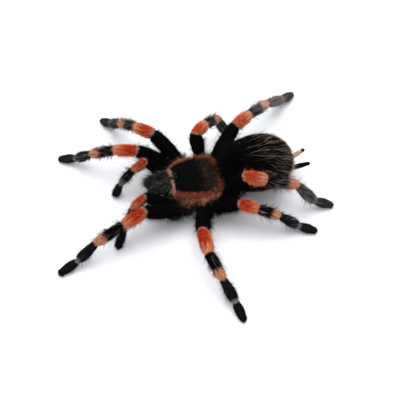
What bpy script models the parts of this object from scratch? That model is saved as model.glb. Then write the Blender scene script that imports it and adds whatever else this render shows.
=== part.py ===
# Red knee tarantula, life size, standing on its eight feet and the tips of its two palps.
# The animal faces -Y, its left side is +X and up is +Z. The origin is on the floor, under the
# middle of its outline. Sizes are millimetres and angles are degrees. The solids reach to the
# tips of the lying coat; every piece keeps a small gap to its neighbours.

import math

import bmesh
import bpy
from mathutils import Matrix, Vector

MM = 0.001
GAP = 0.3

# Body frame: a point is (forward, left, up) from a reference under the middle of the carapace.
BODY_HEIGHT = 9.5
BODY_PITCH = 4.0

# Carapace: at each station its place forward, half width and crown height over the rim.
CARAPACE_STATIONS = [
    (11.0, 5.7, 2.7),
    (10.3, 6.5, 3.6),
    (8.0, 7.3, 4.4),
    (4.5, 8.6, 4.5),
    (1.0, 9.4, 4.1),
    (-2.5, 9.4, 3.5),
    (-5.4, 8.6, 3.0),
    (-7.3, 7.5, 2.5),
    (-8.5, 6.3, 1.8),
    (-9.0, 5.1, 1.1),
]
CARAPACE_UNDERSIDE = -0.3
RIM_TOP = 0.2
CROWN_ROUNDNESS = 0.85
CARAPACE_ARC_POINTS = 12

# Eye tubercle: a low mound near the front edge with eight eyes in two rows.
TUBERCLE_FORWARD = 9.2
TUBERCLE_UP = 4.3
TUBERCLE_RADII = (1.0, 1.5, 0.9)
# Right-hand eyes: share of the mound's radii forward and sideways, and radius.
EYES = [
    (0.45, 0.30, 0.32),
    (0.55, 0.72, 0.28),
    (-0.30, 0.78, 0.26),
    (-0.42, 0.44, 0.22),
]

# Underside: a flat core, the sternum plate and the ten coxae that carry the limbs.
CORE_CENTRE = (0.3, 0.0, -2.5)
CORE_RADII = (9.4, 7.2, 1.8)
STERNUM_CENTRE = (1.2, 0.0, -3.7)
STERNUM_RADII = (5.2, 3.7, 1.1)
COXA_DROP = -3.0
COXA_RADII = (2.45, 1.85)
TROCHANTER_RADII = (2.0, 1.7)
COXA_LEAST_STOUTNESS = 0.93
COXA_SIDES = 8

# Chelicerae: path of the left one and its height and width radii on the way.
CHELICERA_SIDE = 2.4
CHELICERA_PATH = [
    (11.8, 0.9, 2.8, 2.2),
    (13.4, 1.3, 3.0, 2.2),
    (15.7, 1.1, 2.9, 2.2),
    (17.8, 0.0, 2.5, 2.1),
    (19.3, -1.8, 1.9, 1.8),
    (19.6, -3.2, 1.1, 1.2),
]
# Fangs: folded back under the chelicerae, forward, up and radius along the curve.
FANG_PATH = [
    (19.6, -3.9, 0.85),
    (19.4, -4.7, 0.80),
    (18.2, -5.4, 0.68),
    (16.6, -5.5, 0.54),
    (14.9, -5.1, 0.40),
    (13.4, -4.3, 0.26),
]

# Abdomen: an egg with square shoulders in front, on a thin stalk behind the carapace.
ABDOMEN_CENTRE = (-23.2, 0.0, 4.3)
ABDOMEN_RADII = (13.6, 11.3, 10.2)
ABDOMEN_PITCH = -4.0
ABDOMEN_REAR_SWELL = 0.04
ABDOMEN_SHOULDERS = 1.2
# Pedicel: forward, up and radius along the stalk. Its rear end is cut to the abdomen's shape.
PEDICEL_PATH = [
    (-9.4, -2.3, 1.25),
    (-10.6, -1.9, 1.15),
    (-13.5, -0.9, 1.30),
]

# Spinnerets: the left one's path (forward, left, up) and its radius, from inside the abdomen.
SPINNERET_PATH = [
    (-34.4, 1.4, -0.9, 0.95),
    (-37.6, 2.1, 0.5, 0.95),
    (-38.0, 2.2, 0.7, 0.74),
    (-40.0, 2.7, 1.6, 0.74),
    (-40.4, 2.8, 1.8, 0.54),
    (-43.4, 3.5, 3.3, 0.32),
]

# Limbs: hip places (forward, outward, up), inner ends of the coxae and segment lengths.
HIPS = {
    "leg_1": (10.0, 11.3, -2.2),
    "leg_2": (2.4, 11.8, -2.2),
    "leg_3": (-3.6, 11.5, -2.2),
    "leg_4": (-8.4, 9.2, -2.2),
    "palp": (12.0, 6.9, -3.0),
}
# How far forward and outward some hips swing: the second legs' left one reaches back and the right
# one ahead, and the left palp and third leg reach out.
HIP_SWING = {
    ("leg_2", "left"): (-1.6, 0.2),
    ("leg_2", "right"): (2.1, 0.1),
    ("leg_3", "left"): (0.4, 0.5),
    ("leg_4", "left"): (0.4, 0.2),
    ("palp", "left"): (0.4, 0.6),
}
COXA_ROOTS = {
    "leg_1": (5.4, 3.4),
    "leg_2": (1.8, 4.0),
    "leg_3": (-1.6, 4.0),
    "leg_4": (-4.2, 3.2),
    "palp": (8.2, 2.6),
}
SEGMENT_NAMES = {
    "leg": ["femur", "patella", "tibia", "metatarsus", "tarsus"],
    "palp": ["femur", "patella", "tibia", "tarsus"],
}
SEGMENT_LENGTHS = {
    "leg_1": [14.8, 9.0, 12.0, 9.8, 8.7],
    "leg_2": [15.6, 9.1, 10.6, 9.4, 7.8],
    "leg_3": [12.2, 7.2, 8.6, 10.2, 7.8],
    "leg_4": [16.0, 8.4, 12.4, 13.5, 8.7],
    "palp": [12.2, 6.4, 8.6, 8.8],
}

# Pose: heading from straight ahead towards the limb's side, lean of the limb's plane and the
# slope of each segment. The last segment's slope follows from the floor.
POSE = {
    ("leg_1", "left"): (12, -8, [29, -14, -19, -35]),
    ("leg_2", "left"): (90, -27, [32, 1, -41, -42]),
    ("leg_3", "left"): (154, -10, [38, -18, -17, -42]),
    ("leg_4", "left"): (167, 1, [65, -16, -17, -55]),
    ("palp", "left"): (17, -22, [46, -23, -53]),
    ("leg_1", "right"): (20, -15, [46, -12, -32, -43]),
    ("leg_2", "right"): (48, -12, [47, -18, -29, -49]),
    ("leg_3", "right"): (136, -15, [85, -13, -28, -77]),
    ("leg_4", "right"): (146, 1, [38, -7, -18, -34]),
    ("palp", "right"): (-3, 1, [61, -31, -50]),
}

# Girth: full width and height of each kind of segment, and each limb's share of it.
SEGMENT_GIRTH = {
    "femur": (5.6, 5.9),
    "patella": (4.8, 5.0),
    "tibia": (4.3, 4.4),
    "metatarsus": (4.4, 4.4),
    "tarsus": (4.1, 3.8),
}
LIMB_STOUTNESS = {"leg_1": 0.98, "leg_2": 1.0, "leg_3": 0.98, "leg_4": 1.03, "palp": 0.77}
# Outline of each kind of segment: place along it, share of the width, share of the height.
SEGMENT_OUTLINE = {
    "femur": [(0, 0.66, 0.64), (0.13, 0.78, 0.78), (0.4, 0.97, 0.98), (0.7, 1, 1), (0.9, 0.94, 0.95),
              (1, 0.84, 0.84)],
    "patella": [(0, 0.86, 0.84), (0.22, 0.97, 0.98), (0.5, 1, 1), (0.8, 0.97, 0.97), (1, 0.84, 0.82)],
    "tibia": [(0, 0.82, 0.82), (0.2, 0.95, 0.96), (0.5, 1, 1), (0.82, 1, 0.98), (1, 0.80, 0.78)],
    "metatarsus": [(0, 0.66, 0.66), (0.2, 0.78, 0.8), (0.48, 0.95, 0.96), (0.72, 1, 1),
                   (0.89, 0.86, 0.86), (1, 0.58, 0.56)],
    "tarsus": [(0, 0.60, 0.58), (0.18, 0.88, 0.88), (0.46, 1, 1)],
}
LIMB_SIDES = 10

# Foot: the round tip's radius, and how deep the floor cuts its flat into it.
FOOT_RADIUS = 1.5
FOOT_SINK = 0.3
FOOT_RING_ANGLES = [0, 40, 72]

# Colour, roughness and metallic value of each finish.
FINISHES = {
    "black_velvet": ((0.012, 0.011, 0.011), 0.85, 0.0),
    "orange_knee": ((0.72, 0.13, 0.03), 0.75, 0.0),
    "brown_plate": ((0.16, 0.055, 0.03), 0.7, 0.0),
    "grey_brown": ((0.05, 0.04, 0.035), 0.75, 0.0),
    "pale_tip": ((0.25, 0.17, 0.12), 0.7, 0.0),
    "eye_black": ((0.01, 0.01, 0.01), 0.15, 0.0),
    "fang_black": ((0.015, 0.008, 0.006), 0.25, 0.0),
}
SEGMENT_FINISH = {
    "femur": "black_velvet",
    "patella": "orange_knee",
    "tibia": "black_velvet",
    "metatarsus": "black_velvet",
    "tarsus": "black_velvet",
}
SHARP_ANGLE = 50


def clear_scene():
    for old in list(bpy.data.objects):
        bpy.data.objects.remove(old, do_unlink=True)


def new_collection(name):
    collection = bpy.data.collections.new(name)
    bpy.context.scene.collection.children.link(collection)
    return collection


def body_point(forward, left, up):
    pitch = math.radians(BODY_PITCH)
    ahead = forward * math.cos(pitch) - up * math.sin(pitch)
    height = forward * math.sin(pitch) + up * math.cos(pitch)
    return Vector((left, -ahead, BODY_HEIGHT + height))


def body_turn(pitch):
    return Matrix.Rotation(-math.radians(pitch), 4, "X")


def finish_material(finish):
    colour, roughness, metallic = FINISHES[finish]
    material = bpy.data.materials.get(finish) or bpy.data.materials.new(finish)
    material.use_nodes = True
    shader = material.node_tree.nodes["Principled BSDF"]
    shader.inputs["Base Color"].default_value = (*colour, 1.0)
    shader.inputs["Roughness"].default_value = roughness
    shader.inputs["Metallic"].default_value = metallic
    material.diffuse_color = (*colour, 1.0)
    return material


def add_object(name, bm, finish, collection):
    """Turns a bmesh in millimetres into a smooth shaded object in metres."""
    bmesh.ops.scale(bm, vec=(MM, MM, MM), verts=bm.verts)
    bmesh.ops.recalc_face_normals(bm, faces=bm.faces)
    mesh = bpy.data.meshes.new(name)
    bm.to_mesh(mesh)
    bm.free()
    mesh.shade_smooth()
    mesh.set_sharp_from_angle(angle=math.radians(SHARP_ANGLE))
    mesh.materials.append(finish_material(finish))
    made = bpy.data.objects.new(name, mesh)
    collection.objects.link(made)
    return made


def loft(rings):
    """Joins rings of points, all with the same count, and closes both ends."""
    bm = bmesh.new()
    rows = [[bm.verts.new(point) for point in ring] for ring in rings]
    for near, far in zip(rows, rows[1:]):
        for i, corner in enumerate(near):
            j = (i + 1) % len(near)
            bm.faces.new((corner, near[j], far[j], far[i]))
    bm.faces.new(list(reversed(rows[0])))
    bm.faces.new(rows[-1])
    return bm


def ellipsoid(centre, radii, pitch, segments, rings):
    """A round mound in the body frame: radii are forward, sideways and up."""
    bm = bmesh.new()
    bmesh.ops.create_uvsphere(bm, u_segments=segments, v_segments=rings, radius=1.0)
    forward, side, up = radii
    bmesh.ops.scale(bm, vec=(side, forward, up), verts=bm.verts)
    place = Matrix.Translation(body_point(*centre)) @ body_turn(pitch)
    bmesh.ops.transform(bm, matrix=place, verts=bm.verts)
    return bm


def add_cutters(target, operation, cutters, collection):
    """One exact boolean with every cutter in the collection given."""
    for cutter in cutters:
        cutter.hide_render = True
        cutter.display_type = "WIRE"
    boolean = target.modifiers.new(operation.lower(), "BOOLEAN")
    boolean.operation = operation
    boolean.solver = "EXACT"
    boolean.operand_type = "COLLECTION"
    boolean.collection = collection


# Rings along a path

def direction_angles(heading, lean, side):
    """Unit vectors ahead along the limb's heading and up in its leaning plane."""
    heading = math.radians(heading)
    lean = math.radians(lean)
    ahead = Vector((side * math.sin(heading), -math.cos(heading), 0))
    across = Vector((side * math.cos(heading), math.sin(heading), 0))
    up = Vector((0, 0, 1)) * math.cos(lean) + across * math.sin(lean)
    return ahead, up


def slanted_ring(centre, along, across, width, height, plane_point, plane_normal, share,
                 sides=LIMB_SIDES):
    """An elliptical ring round the axis, slid along it towards a slanted plane by a share."""
    above = along.cross(across).normalized()
    ring = []
    for k in range(sides):
        angle = math.tau * (k + 0.5) / sides
        point = centre + across * (width * math.cos(angle)) + above * (height * math.sin(angle))
        slide = (plane_point - point).dot(plane_normal) / along.dot(plane_normal)
        straight = (plane_point - centre).dot(plane_normal) / along.dot(plane_normal)
        ring.append(point + along * ((slide - straight) * share))
    return ring


def segment_rings(start, end, start_normal, end_normal, outline, girth, round_tip):
    """Rings of one limb segment between the slanted planes at its two joints."""
    along = (end - start).normalized()
    length = (end - start).length
    across = along.cross(Vector((0, 0, 1))).normalized()
    if abs(along.z) > 0.97:
        across = start_normal.cross(Vector((0, 0, 1))).normalized()
        across = (across - along * across.dot(along)).normalized()
    half_width, half_height = girth[0] / 2, girth[1] / 2
    start_point = start + along * (GAP / 2 / along.dot(start_normal))
    end_point = end if round_tip else end - along * (GAP / 2 / along.dot(end_normal))
    fade = 1.6 * half_height / length
    rings = []
    for place, width_share, height_share in outline:
        centre = start_point.lerp(end_point, place)
        near_start = max(0.0, 1.0 - place / fade)
        near_end = 0.0 if round_tip else max(0.0, 1.0 - (1.0 - place) / fade)
        at_start = near_start >= near_end
        point = start_point if at_start else end_point
        normal = start_normal if at_start else end_normal
        share = near_start if at_start else near_end
        rings.append(slanted_ring(centre, along, across, half_width * width_share,
                                  half_height * height_share, point, normal, share))
    if round_tip:
        ball_place = 1.0 - FOOT_RADIUS / length
        for degrees in FOOT_RING_ANGLES:
            angle = math.radians(degrees)
            place = ball_place + FOOT_RADIUS * math.sin(angle) / length
            radius = FOOT_RADIUS * math.cos(angle)
            rings.append(slanted_ring(start.lerp(end, place), along, across, radius, radius,
                                      end, along, 0.0))
    return rings


def hip_place(kind, side_name):
    side = 1 if side_name == "left" else -1
    forward, outward, rise = HIPS[kind]
    ahead, out = HIP_SWING.get((kind, side_name), (0, 0))
    return body_point(forward + ahead, side * (outward + out), rise)


def limb_joints(kind, side_name):
    """The places of a limb's joints from its hip to the tip of its foot."""
    side = 1 if side_name == "left" else -1
    heading, lean, slopes = POSE[(kind, side_name)]
    ahead, up = direction_angles(heading, lean, side)
    joints = [hip_place(kind, side_name)]
    lengths = SEGMENT_LENGTHS[kind]
    for length, slope in zip(lengths, slopes):
        angle = math.radians(slope)
        joints.append(joints[-1] + (ahead * math.cos(angle) + up * math.sin(angle)) * length)
    drop = joints[-1].z - (FOOT_RADIUS - FOOT_SINK)
    last = -math.asin(drop / ((lengths[-1] - FOOT_RADIUS) * up.z))
    joints.append(joints[-1] + (ahead * math.cos(last) + up * math.sin(last)) * lengths[-1])
    return joints


def coxa_root(kind, side_name):
    side = 1 if side_name == "left" else -1
    forward, outward = COXA_ROOTS[kind]
    return body_point(forward, side * outward, COXA_DROP)


def cut_floor_flat(bm):
    """Cuts away what would reach under the floor and closes the cut with one flat."""
    geometry = bm.verts[:] + bm.edges[:] + bm.faces[:]
    cut = bmesh.ops.bisect_plane(bm, geom=geometry, plane_co=(0, 0, 0), plane_no=(0, 0, -1),
                                 dist=1e-5, clear_outer=True)
    border = [edge for edge in cut["geom_cut"] if isinstance(edge, bmesh.types.BMEdge)]
    bmesh.ops.contextual_create(bm, geom=border)


# Pieces

def add_limb(kind, side_name, collection):
    joints = limb_joints(kind, side_name)
    names = SEGMENT_NAMES["palp" if kind == "palp" else "leg"]
    stoutness = LIMB_STOUTNESS[kind]
    stations = [coxa_root(kind, side_name)] + joints
    directions = [(b - a).normalized() for a, b in zip(stations, stations[1:])]
    for i, segment in enumerate(names):
        is_tarsus = segment == "tarsus"
        start_normal = (directions[i] + directions[i + 1]).normalized()
        ahead = directions[i + 1] if is_tarsus else directions[i + 2]
        end_normal = (directions[i + 1] + ahead).normalized()
        girth = [size * stoutness for size in SEGMENT_GIRTH[segment]]
        rings = segment_rings(joints[i], joints[i + 1], start_normal, end_normal,
                              SEGMENT_OUTLINE[segment], girth, is_tarsus)
        bm = loft(rings)
        if is_tarsus:
            cut_floor_flat(bm)
        add_object(f"{kind}_{side_name}_{segment}", bm, SEGMENT_FINISH[segment], collection)


def coxa_mesh(kind, side_name):
    """A stub from the body's middle to the hip, cut off in the hip's slanted plane."""
    root = coxa_root(kind, side_name)
    joints = limb_joints(kind, side_name)
    hip = joints[0]
    along = (hip - root).normalized()
    normal = (along + (joints[1] - hip).normalized()).normalized()
    tip = hip - along * (GAP / 2 / along.dot(normal))
    across = along.cross(Vector((0, 0, 1))).normalized()
    stoutness = max(LIMB_STOUTNESS[kind], COXA_LEAST_STOUTNESS)
    rings = []
    for place, radii, scale, share in [(0, COXA_RADII, 1, 0), (0.3, COXA_RADII, 1, 0),
                                       (0.7, COXA_RADII, 1, 0.2), (1, TROCHANTER_RADII, 1, 1)]:
        width, height = [radius * scale * stoutness for radius in radii]
        rings.append(slanted_ring(root.lerp(tip, place), along, across, width, height, tip, normal,
                                  share, COXA_SIDES))
    bm = loft(rings)
    bmesh.ops.triangulate(bm, faces=bm.faces)
    return bm


def add_underside(collection, cutters):
    """Core, sternum and coxae, joined into one piece."""
    core = add_object("sternum_and_coxae", ellipsoid(CORE_CENTRE, CORE_RADII, BODY_PITCH, 18, 8),
                      "grey_brown", collection)
    joined = [add_object("join_sternum", ellipsoid(STERNUM_CENTRE, STERNUM_RADII, BODY_PITCH, 14, 6),
                         "grey_brown", cutters)]
    for kind, side_name in POSE:
        joined.append(add_object(f"join_coxa_{kind}_{side_name}", coxa_mesh(kind, side_name),
                                 "grey_brown", cutters))
    add_cutters(core, "UNION", joined, cutters)


def carapace_ring(forward, half_width, crown):
    """A flat-bottomed arch: the underside's two corners and the dome between them."""
    ring = [body_point(forward, half_width, CARAPACE_UNDERSIDE)]
    for k in range(CARAPACE_ARC_POINTS + 1):
        angle = math.pi * k / CARAPACE_ARC_POINTS
        rise = RIM_TOP + crown * math.sin(angle) ** CROWN_ROUNDNESS
        ring.append(body_point(forward, half_width * math.cos(angle), rise))
    ring.append(body_point(forward, -half_width, CARAPACE_UNDERSIDE))
    return ring


def add_carapace(collection, cutters):
    """The back shield with a shallow seat for the eye tubercle."""
    shield = add_object("carapace", loft([carapace_ring(*station) for station in CARAPACE_STATIONS]),
                        "brown_plate", collection)
    seat_radii = [radius + GAP for radius in TUBERCLE_RADII]
    seat = add_object("cut_eye_seat", ellipsoid((TUBERCLE_FORWARD, 0, TUBERCLE_UP), seat_radii,
                                                BODY_PITCH, 16, 8), "brown_plate", cutters)
    add_cutters(shield, "DIFFERENCE", [seat], cutters)


def add_eyes(collection, cutters):
    """The mound and its eight eyes, joined into one piece."""
    mound = add_object("eye_tubercle", ellipsoid((TUBERCLE_FORWARD, 0, TUBERCLE_UP), TUBERCLE_RADII,
                                                 BODY_PITCH, 14, 8), "eye_black", collection)
    deep, wide, high = TUBERCLE_RADII
    eyes = []
    for number, (ahead, aside, radius) in enumerate(EYES):
        rise = math.sqrt(1.0 - ahead * ahead - aside * aside)
        for side in (1, -1):
            centre = (TUBERCLE_FORWARD + deep * ahead, side * wide * aside, TUBERCLE_UP + high * rise)
            eyes.append(add_object(f"join_eye_{number}_{side}", ellipsoid(
                centre, (radius, radius, radius), BODY_PITCH, 8, 5), "eye_black", cutters))
    add_cutters(mound, "UNION", eyes, cutters)


def path_rings(points, radii):
    """Elliptical rings square to a path; radii are (across, above) at each point."""
    rings = []
    last = len(points) - 1
    for i, point in enumerate(points):
        along = (points[min(i + 1, last)] - points[max(i - 1, 0)]).normalized()
        across = along.cross(Vector((0, 0, 1)))
        if across.length < 0.3:
            across = Vector((-1, 0, 0))
        across = (across - along * across.dot(along)).normalized()
        rings.append(slanted_ring(point, along, across, *radii[i], point, along, 0.0))
    return rings


def add_mouthparts(collection):
    for side_name, side in (("left", 1), ("right", -1)):
        points = [body_point(f, side * CHELICERA_SIDE, u) for f, u, _, _ in CHELICERA_PATH]
        radii = [(wide, high) for _, _, high, wide in CHELICERA_PATH]
        add_object(f"chelicera_{side_name}", loft(path_rings(points, radii)), "grey_brown", collection)
        points = [body_point(f, side * CHELICERA_SIDE, u) for f, u, _ in FANG_PATH]
        radii = [(radius, radius) for _, _, radius in FANG_PATH]
        add_object(f"fang_{side_name}", loft(path_rings(points, radii)), "fang_black", collection)


def abdomen_mesh(extra):
    """The egg-shaped abdomen, larger all round by an extra."""
    bm = bmesh.new()
    bmesh.ops.create_uvsphere(bm, u_segments=22, v_segments=14, radius=1.0)
    bmesh.ops.rotate(bm, cent=(0, 0, 0), matrix=Matrix.Rotation(math.pi / 2, 3, "X"), verts=bm.verts)
    long_radius, side_radius, up_radius = [radius + extra for radius in ABDOMEN_RADII]
    for vert in bm.verts:
        ahead = max(-vert.co.y, 0.0)
        swell = (1.0 + ABDOMEN_REAR_SWELL * vert.co.y) * ABDOMEN_SHOULDERS ** (ahead * ahead)
        vert.co = Vector((vert.co.x * side_radius * swell, vert.co.y * long_radius,
                          vert.co.z * up_radius * swell))
    place = Matrix.Translation(body_point(*ABDOMEN_CENTRE)) @ body_turn(BODY_PITCH + ABDOMEN_PITCH)
    bmesh.ops.transform(bm, matrix=place, verts=bm.verts)
    return bm


def add_abdomen(collection, cutters):
    """The abdomen, and the pedicel and spinnerets cut off just clear of it."""
    add_object("abdomen", abdomen_mesh(0), "black_velvet", collection)
    room = add_object("cut_abdomen_room", abdomen_mesh(GAP), "black_velvet", cutters)
    stalk = [body_point(f, 0, u) for f, u, _ in PEDICEL_PATH]
    radii = [(radius, radius) for _, _, radius in PEDICEL_PATH]
    pedicel = add_object("pedicel", loft(path_rings(stalk, radii)), "grey_brown", collection)
    add_cutters(pedicel, "DIFFERENCE", [room], cutters)
    for side_name, side in (("left", 1), ("right", -1)):
        points = [body_point(f, side * l, u) for f, l, u, _ in SPINNERET_PATH]
        radii = [(radius, radius) for _, _, _, radius in SPINNERET_PATH]
        spinneret = add_object(f"spinneret_{side_name}", loft(path_rings(points, radii)), "pale_tip",
                               collection)
        add_cutters(spinneret, "DIFFERENCE", [room], cutters)


def centre_on_floor(collection):
    """Parents every piece to an empty and moves it so that the outline is centred."""
    holder = bpy.data.objects.new("tarantula_origin", None)
    collection.objects.link(holder)
    corners = []
    for made in collection.objects:
        if made.type == "MESH":
            corners += [vert.co for vert in made.data.vertices]
            made.parent = holder
    low_x, high_x = min(c.x for c in corners), max(c.x for c in corners)
    low_y, high_y = min(c.y for c in corners), max(c.y for c in corners)
    holder.location = (-(low_x + high_x) / 2, -(low_y + high_y) / 2, 0)
    return holder


def main():
    clear_scene()
    tarantula = new_collection("red_knee_tarantula")
    eye_cutters = new_collection("eye_joins")
    seat_cutters = new_collection("seat_cutters")
    coxa_cutters = new_collection("coxa_joins")
    abdomen_cutters = new_collection("abdomen_cutters")
    add_carapace(tarantula, seat_cutters)
    add_eyes(tarantula, eye_cutters)
    add_underside(tarantula, coxa_cutters)
    add_mouthparts(tarantula)
    add_abdomen(tarantula, abdomen_cutters)
    for kind, side_name in POSE:
        add_limb(kind, side_name, tarantula)
    holder = centre_on_floor(tarantula)
    for cutters in (eye_cutters, seat_cutters, coxa_cutters, abdomen_cutters):
        for cutter in cutters.objects:
            cutter.parent = holder


main()
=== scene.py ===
import math

import bmesh
import bpy
import numpy as np
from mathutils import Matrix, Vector
from mathutils.bvhtree import BVHTree
from mathutils.kdtree import KDTree


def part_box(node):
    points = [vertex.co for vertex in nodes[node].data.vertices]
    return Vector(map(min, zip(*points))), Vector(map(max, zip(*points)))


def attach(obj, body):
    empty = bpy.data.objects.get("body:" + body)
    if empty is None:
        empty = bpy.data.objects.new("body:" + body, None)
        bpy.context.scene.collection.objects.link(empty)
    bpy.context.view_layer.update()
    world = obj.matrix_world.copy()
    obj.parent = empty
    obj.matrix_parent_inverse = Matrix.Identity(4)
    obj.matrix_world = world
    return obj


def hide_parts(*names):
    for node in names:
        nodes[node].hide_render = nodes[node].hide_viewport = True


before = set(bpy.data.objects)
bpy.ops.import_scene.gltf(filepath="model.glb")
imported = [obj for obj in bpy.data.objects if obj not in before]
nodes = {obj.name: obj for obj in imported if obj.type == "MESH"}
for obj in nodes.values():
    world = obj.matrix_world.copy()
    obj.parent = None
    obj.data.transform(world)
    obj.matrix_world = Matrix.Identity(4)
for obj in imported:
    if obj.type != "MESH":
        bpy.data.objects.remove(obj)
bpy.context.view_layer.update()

# Red knee tarantula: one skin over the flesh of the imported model, a carapace, eyes, fangs and claws of
# their own, and a coat of solid hairs. Lengths are millimetres until a mesh is made.

mm = 0.001
print("frame loaded:", len(nodes), "nodes")


def unit(v):
    v = np.asarray(v, float)
    return v / np.maximum(np.linalg.norm(v, axis=-1, keepdims=True), 1e-9)


def smoothStep(low, high, x):
    s = np.clip((x - low) / (high - low), 0, 1)
    return s * s * (3 - 2 * s)


def sphereNoise(points, scale, seed):  # a soft random field between about -1 and 1, made of a few waves
    draw = np.random.default_rng(seed)
    waves = unit(draw.normal(size=(10, 3))) * draw.uniform(0.6, 1.5, (10, 1)) / scale
    shifts = draw.uniform(0, math.tau, 10)
    return np.sin(points @ waves.T * math.tau + shifts).mean(1) * 1.8


def readArray(items, attribute, width, kind=float):
    values = np.zeros(len(items) * width, kind)
    items.foreach_get(attribute, values)
    return values.reshape(-1, width)


def nodeArrays(name):
    mesh = nodes[name].data
    mesh.calc_loop_triangles()
    return readArray(mesh.vertices, "co", 3) / mm, readArray(mesh.loop_triangles, "vertices", 3, int)


def treeOf(points, faces):
    return BVHTree.FromPolygons([Vector(p) for p in points], [tuple(int(i) for i in f) for f in faces])


cad = {name: nodeArrays(name) for name in sorted(nodes)}
cadTrees = {name: treeOf(*cad[name]) for name in cad}
boxes = {name: np.array(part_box(name)) / mm for name in cad}
middles = {name: box.mean(0) for name, box in boxes.items()}
carapaceMiddle = middles["carapace"]
bodyX = carapaceMiddle[0]
hardNodes = ("carapace", "eye_tubercle", "fang_left", "fang_right")
fleshNodes = [name for name in cad if name not in hardNodes]

# limbs: joints and girths read from the nodes
limbKinds = ["leg_1", "leg_2", "leg_3", "leg_4", "palp"]
legSegments = ["femur", "patella", "tibia", "metatarsus", "tarsus"]
palpSegments = ["femur", "patella", "tibia", "tarsus"]
limbReading = {
    "jointReach": 0.8,  # how near a neighbour's surface an end ring's points are
    "footHeight": 0.9,  # least height of a foot's middle
}


def facingPoints(name, other):  # the points of one node that face another one
    points = np.unique(cad[name][0].round(3), axis=0)
    reach = limbReading["jointReach"]
    return np.array([p for p in points if cadTrees[other].find_nearest(Vector(p), reach)[0] is not None])


def limbOf(kind, side):
    segments = palpSegments if kind == "palp" else legSegments
    names = [f"{kind}_{side}_{segment}" for segment in segments]
    joints = [facingPoints(names[0], "sternum_and_coxae").mean(0)]
    for near, far in zip(names, names[1:]):
        ends = np.concatenate([facingPoints(near, far), facingPoints(far, near)])
        joints.append((ends.min(0) + ends.max(0)) / 2)
    foot = cad[names[-1]][0]
    joints.append(foot[np.argmax(np.linalg.norm(foot - joints[-1], axis=1))])
    joints = np.array(joints)
    joints[-1][2] = max(joints[-1][2], limbReading["footHeight"])
    flat = np.linalg.svd(joints - joints.mean(0))[2][2]  # square to the plane the limb bends in
    alongs = unit(np.diff(joints, axis=0))
    dorsals = unit(np.cross(flat, alongs))
    dorsals *= np.where(dorsals[:, 2:3] < 0, -1, 1)
    planes = np.concatenate([alongs[:1], unit(alongs[:-1] + alongs[1:]), alongs[-1:]])  # square to each joint
    return {"kind": kind, "side": side, "names": names, "joints": joints, "alongs": alongs,
            "dorsals": dorsals, "planes": planes, "lengths": np.linalg.norm(np.diff(joints, axis=0), axis=1)}


limbs = [limbOf(kind, side) for kind in limbKinds for side in ("left", "right")]
print("limbs read:", [round(float(limb["lengths"].sum()), 1) for limb in limbs])


def girthAt(limb, i, t):  # half width and half height of a segment's solid at a share of its length
    tree = cadTrees[limb["names"][i]]
    along, dorsal = limb["alongs"][i], limb["dorsals"][i]
    centre = limb["joints"][i] + along * limb["lengths"][i] * t
    halves = []
    for axis in (np.cross(along, dorsal), dorsal):
        reach = [tree.ray_cast(Vector(centre), Vector(axis * way))[3] for way in (1, -1)]
        reach = [r for r in reach if r is not None]
        halves.append(sum(reach) / len(reach) if reach else 1.0)
    return halves


# skin: tubes and bodies of the flesh, made one by a voxel remesh
skinShape = {
    "voxel": 0.34,
    "smoothSteps": 6,
    "ringPoints": 24,
    "stations": [0.14, 0.24, 0.36, 0.5, 0.64, 0.76, 0.87],  # shares of a segment where its girth is read
    "jointPinch": 0.97,  # share of the nearest girth left at a joint
    "jointStretch": 1.16,  # most that a bent joint's ring may widen
    "rootReach": 2.6,  # how far a limb reaches back into its coxa
    "rootGirth": 0.6,  # share of the girth left there
    "footBall": 1.45,
    "footStop": 0.8,  # share of the last segment where the foot's ball takes over
}


def ringPoints(centre, axis, dorsal, halfWidth, halfHeight, count):
    across = unit(np.cross(axis, dorsal))
    above = unit(np.cross(across, axis))
    turn = np.arange(count) / count * math.tau
    return centre + np.cos(turn)[:, None] * across * halfWidth + np.sin(turn)[:, None] * above * halfHeight


def ringFaces(rows, columns):  # quads between rings of points, and a face over each end
    faces = []
    for r in range(rows - 1):
        for k in range(columns):
            a, b = r * columns + k, r * columns + (k + 1) % columns
            faces.append((a, b, b + columns, a + columns))
    faces.append(tuple(reversed(range(columns))))
    faces.append(tuple(range((rows - 1) * columns, rows * columns)))
    return faces


def tube(rings):
    return np.concatenate(rings), ringFaces(len(rings), len(rings[0]))


def limbTube(limb):
    shape = skinShape
    joints, alongs, dorsals = limb["joints"], limb["alongs"], limb["dorsals"]
    last = len(alongs) - 1
    rings = []

    def addRing(centre, axis, dorsal, halfWidth, halfHeight):
        rings.append(ringPoints(centre, axis, dorsal, halfWidth, halfHeight, shape["ringPoints"]))

    wide, high = np.array(girthAt(limb, 0, shape["stations"][0])) * shape["rootGirth"]
    addRing(joints[0] - alongs[0] * shape["rootReach"], alongs[0], dorsals[0], wide, high)
    for i in range(last + 1):
        girths = [girthAt(limb, i, t) for t in shape["stations"]]
        before = max(i - 1, 0)
        axis = unit(alongs[before] + alongs[i])
        stretch = min(1 / max(axis @ alongs[i], 0.2), shape["jointStretch"])
        wide, high = np.array(girths[0]) * shape["jointPinch"]
        addRing(joints[i], axis, dorsals[before] + dorsals[i], wide, high * stretch)
        for t, girth in zip(shape["stations"], girths):
            if i < last or t <= shape["footStop"]:
                addRing(joints[i] + alongs[i] * limb["lengths"][i] * t, alongs[i], dorsals[i], *girth)
    for degrees in (5, 35, 60, 80):
        turn = math.radians(degrees)
        centre = joints[-1] - alongs[last] * shape["footBall"] * (1 - math.sin(turn))
        size = shape["footBall"] * math.cos(turn)
        addRing(centre, alongs[last], dorsals[last], size, size)
    return tube(rings)


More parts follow.
